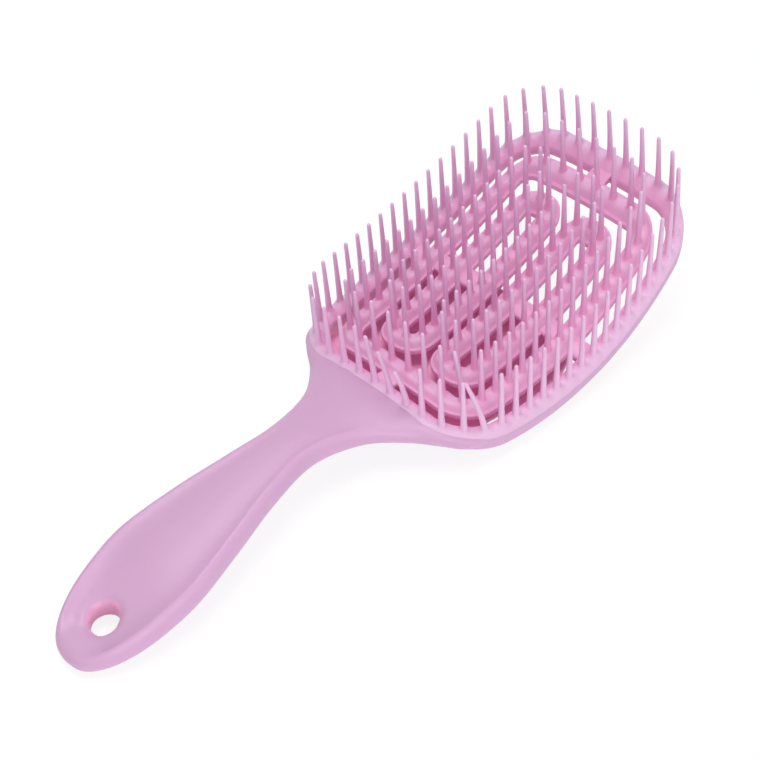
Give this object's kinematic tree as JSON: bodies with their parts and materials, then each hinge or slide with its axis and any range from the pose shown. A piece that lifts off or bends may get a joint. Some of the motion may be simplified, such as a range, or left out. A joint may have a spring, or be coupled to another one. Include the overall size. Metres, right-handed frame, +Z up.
{
  "type": "vented paddle hairbrush",
  "caption": "Paddle hairbrush with an arched handle, a hanging hole, a rimmed curved head and an open lattice of springy loops that carry rows of tapered pins.",
  "frame": {"origin": "on the table under the middle of the brush's box, with the brush lying on its back and its pins up", "axes": "+X from the butt of the handle to the far end of the head, +Z up along the pins, +Y to the left"},
  "size_m": [0.2368, 0.0842, 0.0541],
  "materials": {
    "lilac_plastic": "satin",
    "pink_plastic": "satin"
  },
  "bodies": {
    "frame": {"handle_frame": "lilac_plastic", "outer_pin_ring": "pink_plastic", "middle_pin_loop": "pink_plastic"},
    "left_pad": {"left_pin_loop": "pink_plastic"},
    "right_pad": {"right_pin_loop": "pink_plastic"}
  },
  "joints": [
    {"name": "left_pad_rock", "type": "hinge", "parent": "frame", "child": "left_pad", "pos_m": [0.0599, 0.0228, 0.0114], "axis": [0, 1, 0], "range_deg": [-4, 4], "stiffness_Nm_per_rad": 3},
    {"name": "right_pad_rock", "type": "hinge", "parent": "frame", "child": "right_pad", "pos_m": [0.0599, -0.0228, 0.0114], "axis": [0, 1, 0], "range_deg": [-4, 4], "stiffness_Nm_per_rad": 3}
  ]
}
